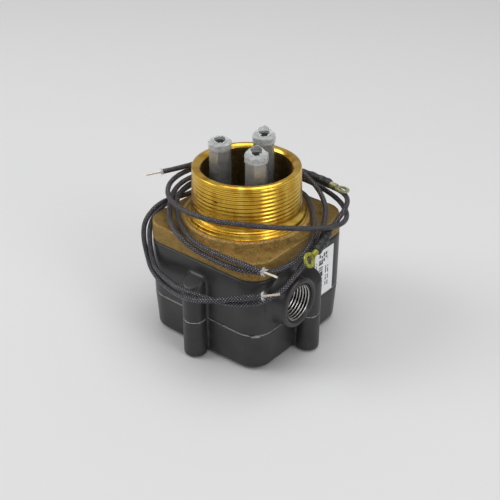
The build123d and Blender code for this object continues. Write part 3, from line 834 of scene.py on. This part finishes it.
def grow(name, tree, inputs, material, place):
    """Run a geometry tree on an empty mesh, make it real and put it in place."""
    piece = bpy.data.objects.new(name, bpy.data.meshes.new(name))
    bpy.context.scene.collection.objects.link(piece)
    modifier = piece.modifiers.new("grow", "NODES")
    modifier.node_group = tree
    values = {**inputs, "Finish": material}
    for item in tree.interface.items_tree:
        if item.in_out == "INPUT":
            modifier[item.identifier] = values[item.name]
    made_real(piece)
    piece.data.transform(place)
    return shaded(clothed(piece, material))


STRAND_INPUTS = (
    ("Strands", "Int", 6), ("Length", "Float", 0.01), ("Lay radius", "Float", 0.0004),
    ("Strand radius", "Float", 0.0002), ("Turns", "Float", 1.2),
)
TUFT_INPUTS = (
    ("Fibres", "Int", 40), ("Collar radius", "Float", 0.001), ("Fibre length", "Float", 0.002),
    ("Fibre radius", "Float", 0.0001), ("Lean", "Float", 0.9), ("Seed", "Int", 1),
)


def twisted_strands(graph, given):
    """Strands laid in a helix about +Z, one spiral repeated round the axis."""
    lay = given["Lay radius"]
    spiral = graph.node("GeometryNodeCurveSpiral", {}, (26, given["Turns"], lay, lay, given["Length"]))
    spots = graph.node("GeometryNodePoints", {}, (given["Strands"], (0, 0, 0)))
    index = graph.node("GeometryNodeInputIndex")
    turn = graph.node("ShaderNodeCombineXYZ", {}, (0.0, 0.0, index * (2 * math.pi) / given["Strands"]))
    placed = graph.node("GeometryNodeInstanceOnPoints", {},
                        {"Points": spots, "Instance": spiral, "Rotation": turn})
    real = graph.node("GeometryNodeRealizeInstances", {}, (placed,))
    section = graph.node("GeometryNodeCurvePrimitiveCircle", {},
                         {"Resolution": 8, "Radius": given["Strand radius"]})
    return graph.node("GeometryNodeCurveToMesh", {},
                      {"Curve": real, "Profile Curve": section, "Fill Caps": True})


def frayed_tuft(graph, given):
    """Short fibres round a collar that lean out at random from +Z."""

    def chance(low, high, seed):
        return graph.node("FunctionNodeRandomValue", {}, {2: low, 3: high, "Seed": seed}, 1)

    collar = graph.node("GeometryNodeMeshCircle", {},
                        {"Vertices": given["Fibres"], "Radius": given["Collar radius"]})
    fibre = graph.node("GeometryNodeMeshCone", {}, {
        "Vertices": 5, "Side Segments": 1, "Radius Top": given["Fibre radius"] * 0.35,
        "Radius Bottom": given["Fibre radius"], "Depth": given["Fibre length"]})
    index = graph.node("GeometryNodeInputIndex")
    seed = given["Seed"]
    lean = chance(0.05, given["Lean"], seed)
    stretch = graph.node("ShaderNodeCombineXYZ", {}, (1.0, 1.0, chance(0.45, 1.15, seed + 7)))
    stray = chance(-0.5, 0.5, seed + 13)
    turn = graph.node("ShaderNodeCombineXYZ", {},
                      (0.0, lean, index * (2 * math.pi) / given["Fibres"] + stray))
    placed = graph.node("GeometryNodeInstanceOnPoints", {},
                        {"Points": collar, "Instance": fibre, "Rotation": turn, "Scale": stretch})
    return placed


def aimed(centre, along):
    """The matrix that puts +Z along a direction at a place."""
    along = along.normalized()
    side = along.orthogonal().normalized()
    turn = Matrix((side, along.cross(side), along)).transposed().to_4x4()
    return Matrix.Translation(centre) @ turn


# Operators


class PROBEHEAD_OT_stage(Operator):
    """Make the camera, the pale floor, the soft lamps and the surroundings"""

    bl_idname = "probe_head.stage"
    bl_label = "Stage"

    def execute(self, context):
        self.camera(context.scene)
        self.floor()
        for softbox in SOFTBOXES:
            self.lamp(context.scene, *softbox)
        self.surroundings(context.scene)
        return {"FINISHED"}

    def camera(self, scene):
        data = bpy.data.cameras.new("camera")
        data.lens = CAMERA_LENS
        data.sensor_width = CAMERA_SENSOR
        data.shift_x, data.shift_y = CAMERA_SHIFT
        holder = bpy.data.objects.new("camera", data)
        turn, rise = math.radians(CAMERA_TURN), math.radians(CAMERA_RISE)
        back = Vector((math.sin(turn) * math.cos(rise), -math.cos(turn) * math.cos(rise), math.sin(rise)))
        holder.location = LOOK_AT + back * CAMERA_DISTANCE
        holder.rotation_euler = (math.pi / 2 - rise, 0.0, turn)
        scene.collection.objects.link(holder)
        scene.camera = holder

    def floor(self):
        grey = colour("studio_grey")
        finish = Finish("studio floor", Roughness=0.85, Specular_IOR_Level=0.15)
        finish.paint(finish.grain(400.0, 2.0), grey, tinted(grey, 0.985))
        corners = [(x * FLOOR_HALF, y * FLOOR_HALF, 0) for x, y in ((-1, -1), (1, -1), (1, 1), (-1, 1))]
        add_piece("studio_floor", corners, [(0, 1, 2, 3)], [finish.material], False)

    def lamp(self, scene, name, place, size, power):
        data = bpy.data.lights.new(name, "AREA")
        data.shape = "RECTANGLE"
        data.size, data.size_y = size
        data.energy = power
        holder = bpy.data.objects.new(name, data)
        holder.location = place
        holder.rotation_euler = (LOOK_AT - Vector(place)).to_track_quat("-Z", "Y").to_euler()
        scene.collection.objects.link(holder)

    def surroundings(self, scene):
        world = bpy.data.worlds.new("studio")
        world.use_nodes = True
        graph = Graph(world.node_tree)
        graph.tree.nodes.clear()
        seen = graph.node("ShaderNodeBackground", {}, ((*colour("studio_grey"), 1.0), 1.0))
        light = graph.node("ShaderNodeBackground", {}, ((1.0, 1.0, 1.0, 1.0), WORLD_LIGHT))
        direct = graph.node("ShaderNodeLightPath", out="Is Camera Ray")
        through = graph.node("ShaderNodeLightPath", out="Is Transmission Ray")
        mixed = graph.node("ShaderNodeMixShader", {}, (direct.larger(through), light, seen))
        surface = graph.tree.nodes.new("ShaderNodeOutputWorld")
        graph.tree.links.new(mixed.socket, surface.inputs["Surface"])
        scene.world = world
        scene.view_settings.view_transform = "Standard"


class PROBEHEAD_OT_leads(Operator):
    """Make the three braided leads with their cores, black sleeves and ring terminals"""

    bl_idname = "probe_head.leads"
    bl_label = "Leads"

    def execute(self, context):
        skins = {"braid": braid(), "black": shrunk_black(), "tin": tinned_wire(), "fibre": frayed_fibre()}
        strands = shape_tree("twisted strands", STRAND_INPUTS, twisted_strands)
        tuft = shape_tree("frayed tuft", TUFT_INPUTS, frayed_tuft)
        for number, route in enumerate(LEAD_ROUTES, 1):
            self.lead(number, route, skins, strands, tuft)
        return {"FINISHED"}

    def lead(self, number, route, skins, strands, tuft):
        radius = sizes().lead_diameter * MM / 2
        line = even_line(route_line(f"route_{number}", route), 1.1 * MM)
        piece = tube_piece(f"braided_lead_{number}", line, 20, self.lead_radius(radius), [skins["braid"]])
        standing(piece, "head", "braid", f"lead_{number}")
        out = line[0] - line[1]
        end = aimed(line[0] - out.normalized() * CORE_LEAD_IN * MM, out)
        parts = [self.core(number, end, skins["tin"], strands),
                 self.tuft(number, end, radius, skins["fibre"], tuft),
                 self.sleeve(number, route, skins["black"]),
                 self.ring(number)]

    @staticmethod
    def lead_radius(radius):
        def radius_at(along, total, angle):
            swell = 1.0 + 0.03 * math.sin(along * 900.0) * math.sin(along * 217.0 + 1.0)
            return radius * swell
        return radius_at

    def core(self, number, end, tin, strands):
        """The stripped, tinned strands that stick out of the braid."""
        inputs = {"Strands": 6, "Length": 10.0 * MM, "Lay radius": 0.34 * MM, "Strand radius": 0.24 * MM,
                  "Turns": 1.1}
        piece = grow(f"core_strands_{number}", strands, inputs, tin, end)
        return standing(piece, "head", "tinned_copper", f"lead_core_{number}")

    def tuft(self, number, end, radius, fibre, tuft):
        """The braid's cut fibres round the stripped end."""
        inputs = {"Fibres": sizes().fibre_count, "Collar radius": radius * 0.66, "Fibre length": 2.9 * MM,
                  "Fibre radius": 0.13 * MM, "Lean": 0.95, "Seed": 11 + number}
        return standing(grow(f"frayed_end_{number}", tuft, inputs, fibre, end), "head", "braid")

    def sleeve(self, number, route, black):
        """The black sleeve between the braid and the ring, folded as it shrank."""
        ends = SLEEVE_ENDS[number - 1]
        end = Vector(route[-1])
        along = (end - Vector(route[-2])).normalized()
        start = end + along * (SLEEVE_LEAD_IN * (Vector(ends[0]) - end).length)
        route = (end - along * 0.8, end, start, *ends)
        line = even_line(route_line(f"sleeve_route_{number}", route), 0.35 * MM)

        def radius_at(run, total, angle):
            share = run / total
            spot = Vector((math.cos(angle) * 1.3, math.sin(angle) * 1.3, run * 420.0 + number))
            ends_in = 0.12 * max(0.0, 1.0 - min(share, 1.0 - share) / 0.12)
            return (SHRINK_RADIUS * (1.0 - ends_in) + SHRINK_FOLDS * noise.noise(spot)) * MM

        piece = tube_piece(f"heat_shrink_{number}", line, 28, radius_at, [black])
        return standing(piece, "head", "heat_shrink", f"lead_sleeve_{number}")

    def ring(self, number):
        return dress(f"ring_terminal_{number}", plated_ring(RINGS_FADED[number - 1]))


class PROBEHEAD_OT_brass(Operator):
    """Make the brass casting: rough flange and crown, turned shoulder and threaded spigot"""

    bl_idname = "probe_head.brass"
    bl_label = "Brass body"

    around = 320

    def execute(self, context):
        rings = self.profile()
        kinds = [kind for kind, _ in rings]
        corners = []
        for _, ring in rings:
            for angle in turns(self.around):
                reach, height = ring(angle)
                corners.append(Vector((reach * math.cos(angle), reach * math.sin(angle), height)))
        corners += [Vector((0, 0, BRASS_LOW.z / MM)), Vector((0, 0, WEB_TOP))]
        self.roughen(corners, kinds)
        rows = len(rings)
        # The bore's brass is darkened to 0.42 as painted shade, and strewn with loose crumbs
        materials = [cast_brass("cast brass"), turned_brass(), cast_brass("bore brass", 0.42, 0.8)]
        piece = add_piece("brass_casting", [corner * MM for corner in corners],
                          capped_faces(rows, self.around), materials)
        marks = []
        for face in piece.data.polygons:
            row = min(face.vertices[0] // self.around, rows - 1)
            after = min(max(v // self.around for v in face.vertices if v < rows * self.around), rows - 1)
            marks.append(kinds[max(row, after)])
        piece.data.polygons.foreach_set("material_index", marks)
        outward(piece)
        standing(piece, "head", "brass", "brass_body")
        return {"FINISHED"}

    def profile(self):
        """Rings from the underside, up the sides and the spigot, down the bore to the web."""
        pitch, depth = sizes().thread_pitch, sizes().thread_depth
        half = BRASS_HIGH.x / MM
        foot, rim = BRASS_LOW.z / MM, BRASS_HIGH.z / MM
        crest = MOUNTS["spigot_thread"]["dims"]["r_mm"]
        thread_foot = rim - THREAD_LENGTH
        top = foot + FLANGE_THICK
        crown_top = top + CROWN_RISE
        shoulder_top = crown_top + SHOULDER_RISE
        edge, lean, brow = 0.7, 0.35, 0.9
        rings = []

        def square(inset, height, share=0.0, radius=0.0):
            """A square with round corners, or one that has gone part of the way to a circle."""
            corner = FLANGE_CORNER - inset
            rings.append((CAST, lambda a: (
                (1 - share) * rounded_square(half - inset, corner, a) + share * radius, height)))

        def circle(kind, radius, height):
            rings.append((kind, lambda a: (radius, height)))

        square(12.0, foot)
        square(2.0, foot)
        for step in range(4):
            turn = math.radians(90 * step / 3)
            square(edge * (1 - math.sin(turn)), foot + edge * (1 - math.cos(turn)))
        for step in range(1, 9):
            square(lean * step / 8, foot + edge + (top - foot - (edge + brow)) * step / 8)
        for step in range(1, 7):
            turn = math.radians(90 * step / 6)
            square(lean + brow * (1 - math.cos(turn)), top - brow + brow * math.sin(turn) - 0.15)
        for step in range(1, 9):
            square(1.3, top - 0.15 + 0.25 * step / 8, step / 9, 40.0)
        for radius, rise in ((39.2, 0.10), (37.9, 0.38), (36.7, 0.85), (35.8, 1.45), (35.1, 2.0),
                             (CROWN_EDGE, 2.32), (34.0, 2.46), (33.2, 2.42)):
            circle(CAST, radius, top + rise)
        for radius, height in ((32.5, crown_top), (32.3, crown_top + 0.12), (32.3, shoulder_top - 0.7),
                               (32.2, shoulder_top - 0.35), (31.9, shoulder_top - 0.12)):
            circle(TURNED, radius, height)
        for step in range(1, 9):
            turn = math.radians(90 * step / 8)
            circle(TURNED, 31.9 - 2.6 * math.sin(turn), shoulder_top - 0.12 + 2.2 * (1 - math.cos(turn)))
        circle(TURNED, NECK_RADIUS, thread_foot - 0.6)
        steps = 128
        for step in range(steps + 1):
            height = thread_foot - 0.4 + (rim - thread_foot - 0.1) * step / steps

            def thread(a, z=height):
                """Crests and roots that climb with the angle, taper, and run out at the neck."""
                turn = (z / pitch - a / (2 * math.pi)) % 1.0
                tooth = 0.5 - 0.5 * math.cos(2 * math.pi * turn)
                reach = crest + (rim - 11.0 - z) / 32.0 - depth * tooth
                fade = min(max((z - thread_foot + 0.6) / 1.6, 0.0), 1.0)
                if reach > NECK_RADIUS:
                    reach = NECK_RADIUS + (reach - NECK_RADIUS) * fade
                else:
                    reach = max(reach, NECK_RADIUS - 2.0 * fade)
                return (min(reach, 28.55 + (rim - z) * 1.15), z)

            rings.append((TURNED, thread))
        for radius, drop in ((28.2, 0.12), (27.9, 0.0), (26.4, 0.0), (26.1, 0.08), (25.2, 0.9),
                             (24.7, 1.45), (24.45, 1.8)):
            circle(TURNED, radius, rim - drop)
        for step in range(1, 20):
            circle(BORED, BORE_RADIUS, rim - 1.8 - (rim - 2.6 - WEB_TOP) * step / 19)
        for radius, rise in ((24.0, 0.25), (23.2, 0.0), (12.0, 0.0)):
            circle(BORED, radius, WEB_TOP + rise)
        return rings

    def roughen(self, corners, kinds):
        """Push the cast skin in and out a little."""
        for index, point in enumerate(corners[:-2]):
            kind = kinds[index // self.around]
            if kind == TURNED:
                continue
            cast = kind == CAST
            wide = noise.noise(point * 0.11) * 0.34
            fine = noise.noise(point * 0.9 + Vector((7, 1, 3))) * 0.16 + noise.noise(point * 2.3) * 0.07
            push = (wide + fine) * (1.0 if cast else 0.35) - 0.12
            flat = Vector((point.x, point.y, 0.0)).normalized()
            corners[index] = point + flat * push * 0.7 + Vector((0, 0, push * 0.55 if cast else 0.0))


class PROBEHEAD_OT_box(Operator):
    """Make the painted housing and cover, their gaskets, the hub's thread and the label"""

    bl_idname = "probe_head.box"
    bl_label = "Terminal box"

    def execute(self, context):
        seam = COVER_HIGH.z
        chip_at = (COVER_HIGH.x * 0.735, -COVER_HIGH.x * 0.735)
        voxel = sizes().casting_voxel
        upper = worn_paint(seam + 0.0001, seam + 0.0010, chip_at, 1.0)
        lower = worn_paint(seam - 0.0008, seam + 0.0002, chip_at, 0.3)
        walls = ("upper_housing", "housing_roof")
        housing = soft_casting(walls, "housing_casting", upper, voxel, 14)
        standing(housing, "head", "black_paint", *walls)
        cover = soft_casting(("cover",), "cover_casting", lower, voxel, 4)
        standing(cover, "cover_assembly", "black_paint", "cover")
        dress("body_gasket", moulded("body gasket sheet", (0.035, 0.035, 0.035), 0.7))
        dress("cover_gasket", seam_sheet())
        dress("rating_label", plain_label())
        self.hub_thread()
        return {"FINISHED"}

    def hub_thread(self):
        """Bright cut thread inside the conduit hub."""
        mount = MOUNTS["conduit_port"]
        centre = Vector(mount["pos_m"])
        outer = mount["dims"]["r_mm"] - HUB_CLEARANCE
        pitch = sizes().hub_thread_pitch
        mouth, root = HOUSING_HIGH.x / MM - HUB_MOUTH, HOUSING_HIGH.x / MM - HUB_END
        around, steps = 120, 110
        corners = []
        for step in range(steps + 1):
            x = root + (mouth - root) * step / steps
            for angle in turns(around):
                turn = (x / pitch + angle / (2 * math.pi)) % 1.0
                tooth = min(max((abs(turn - 0.5) * 2.0 - 0.05) / 0.88, 0.0), 1.0)
                reach = HUB_CREST + HUB_TOOTH * tooth + HUB_FLARE * (step / steps) ** 2
                corners.append((x, reach * math.cos(angle), reach * math.sin(angle)))
        for x, reach in ((mouth + HUB_LIP_OUT, HUB_LIP), (mouth + HUB_LIP_OUT, outer), (root, outer)):
            corners += [(x, reach * math.cos(angle), reach * math.sin(angle)) for angle in turns(around)]
        rows = steps + 4
        moved = [Vector((x * MM, centre.y + y * MM, centre.z + z * MM)) for x, y, z in corners]
        piece = add_piece("hub_thread", moved, ring_faces(rows, around), [cut_thread(centre)])
        standing(outward(piece), "head", "steel")


class PROBEHEAD_OT_posts(Operator):
    """Make the clear film sleeves and dress the couplings, studs, insulators and nuts"""

    bl_idname = "probe_head.posts"
    bl_label = "Electrode posts"

    def execute(self, context):
        metal = post_metal()
        film = clear_film()
        bright = machined_steel("plated steel", 0.58, 0.26)
        white = moulded("insulator plastic", (0.74, 0.73, 0.68), 0.4)
        for number in (1, 2, 3):
            dress(f"coupling_{number}", metal)
            dress(f"electrode_{number}", bright)
            dress(f"upper_insulator_{number}", white)
            dress(f"lower_insulator_{number}", white)
            self.sleeve(number, film)
        for node in ("terminal_washers", "terminal_nuts", "binding_washers", "binding_nuts",
                     "housing_screws", "ground_screw", "ground_washer"):
            dress(node, bright)
        return {"FINISHED"}

    def sleeve(self, number, film):
        """A thin film that hugs the hexagon, with a ragged lip folded in at the top."""
        low, high = POSTS[number - 1]
        centre = (low + high) / 2
        flats = (high.y - low.y) / MM / 2
        foot, top = low.z / MM, high.z / MM
        around = 96
        away = math.radians(FLAP_SIDE)
        flap = FLAP_HEIGHTS[number - 1]

        def hexagon(angle):
            part = (angle - math.pi / 2 + math.pi / 6) % (math.pi / 3) - math.pi / 6
            return flats / math.cos(part)

        outer, inner = [], []
        heights = [foot + 0.1 + (top - 4.2 - foot) * step / 16 for step in range(17)]
        heights += [top - 3.8, top - 3.5, top - 3.0, top - 2.4, top - 1.8, top - 1.2, top - 0.6, top - 0.2]
        for height in heights:
            band = min(max((height - (top - FILM_BAND)) / 0.6, 0.0), 1.0)
            ring_out, ring_in = [], []
            hug = 0.70 - 0.25 * band
            for angle in turns(around):
                reach = hug * hexagon(angle) + (1 - hug) * (flats / math.cos(math.pi / 6)) + 0.12
                place = Vector((math.cos(angle) * 1.2, math.sin(angle) * 1.2, height * 0.35 + number * 9))
                reach += 0.10 * noise.noise(place * 1.7) + band * (0.30 + 0.16 * noise.noise(place * 3.1))
                reach = max(reach, hexagon(angle) + 0.05)
                ring_out.append((angle, reach + FILM_WALL, height))
                ring_in.append((angle, reach, height))
            outer.append(ring_out)
            inner.append(ring_in)
        lips = []
        shares = (0.08, 0.2, 0.34, 0.48, 0.62, 0.76, 0.9, 1.0)
        for share in shares:
            ring = []
            for k, angle in enumerate(turns(around)):
                back = max(0.0, math.cos(angle - away)) ** 1.2
                turn = Vector((math.cos(angle), math.sin(angle), 0.0))
                ragged = noise.noise(turn * 2.1 + Vector((0, 0, number * 5.0)))
                crease = noise.noise(turn * 4.2 + Vector((0, 0, share * 2.6 + number * 3.0)))
                fold = (4.1 + 1.2 * ragged) * (1.0 - 0.82 * back)
                reach = outer[-1][k][1] - 0.2 - fold * share
                height = top + 0.45 * math.sin(math.pi * min(share * 1.4, 1.0))
                height += back * flap * share ** 0.8
                height += 0.35 * ragged * share + 0.32 * crease
                ring.append((angle, max(reach, 1.1), max(height, top + 0.05)))
            lips.append(ring)
        under = [[(a, r - 0.08, h - 0.10) for a, r, h in ring] for ring in reversed(lips)]
        rows = outer + lips + under + inner[::-1]
        lip_shares = [*[0.0] * len(outer), *shares, *reversed(shares), *[0.0] * len(inner)]
        corners = []
        for ring in rows:
            for angle, reach, height in ring:
                corners.append(Vector((centre.x + reach * MM * math.cos(angle),
                                       centre.y + reach * MM * math.sin(angle), height * MM)))
        piece = add_piece(f"clear_film_{number}", corners, ring_faces(len(rows), around), [film])
        layer = piece.data.uv_layers.new(name="lip")
        for loop in piece.data.loops:
            row, turn = divmod(loop.vertex_index, around)
            layer.data[loop.index].uv = (turn / around, lip_shares[row])
        standing(outward(piece), "head", "clear_sleeve", f"coupling_sleeve_{number}")


class PROBEHEAD_OT_screws(Operator):
    """Dress the four cover screws that the head stands on"""

    bl_idname = "probe_head.screws"
    bl_label = "Cover screws"

    def execute(self, context):
        bright = machined_steel("cover screw steel", 0.66, 0.22)
        for number in (1, 2, 3, 4):
            dress(f"cover_screw_{number}", bright)
        return {"FINISHED"}


class PROBEHEAD_PT_panel(Panel):
    """Lists the probe head's steps, sizes and colours"""

    bl_idname = "PROBEHEAD_PT_panel"
    bl_label = "Level probe head"
    bl_space_type = "VIEW_3D"
    bl_region_type = "UI"
    bl_category = "Probe head"

    def draw(self, context):
        column = self.layout.column()
        for step in STEPS:
            column.operator(step.bl_idname)
        for group in (context.scene.probe_head_sizes, context.scene.probe_head_colours):
            for name in group.__annotations__:
                column.prop(group, name)


STEPS = (
    PROBEHEAD_OT_stage,
    PROBEHEAD_OT_leads,
    PROBEHEAD_OT_brass,
    PROBEHEAD_OT_box,
    PROBEHEAD_OT_posts,
    PROBEHEAD_OT_screws,
)
CLASSES = (ProbeHeadSizes, ProbeHeadColours, *STEPS, PROBEHEAD_PT_panel)


def register():
    for item in CLASSES:
        bpy.utils.register_class(item)
    bpy.types.Scene.probe_head_sizes = PointerProperty(type=ProbeHeadSizes)
    bpy.types.Scene.probe_head_colours = PointerProperty(type=ProbeHeadColours)


def unregister():
    del bpy.types.Scene.probe_head_colours
    del bpy.types.Scene.probe_head_sizes
    for item in reversed(CLASSES):
        bpy.utils.unregister_class(item)


def main():
    """Build every piece in order."""
    register()
    bpy.ops.probe_head.stage()
    bpy.ops.probe_head.leads()
    bpy.ops.probe_head.brass()
    bpy.ops.probe_head.box()
    bpy.ops.probe_head.posts()
    bpy.ops.probe_head.screws()
    bpy.context.view_layer.update()


if __name__ == "__main__":
    main()
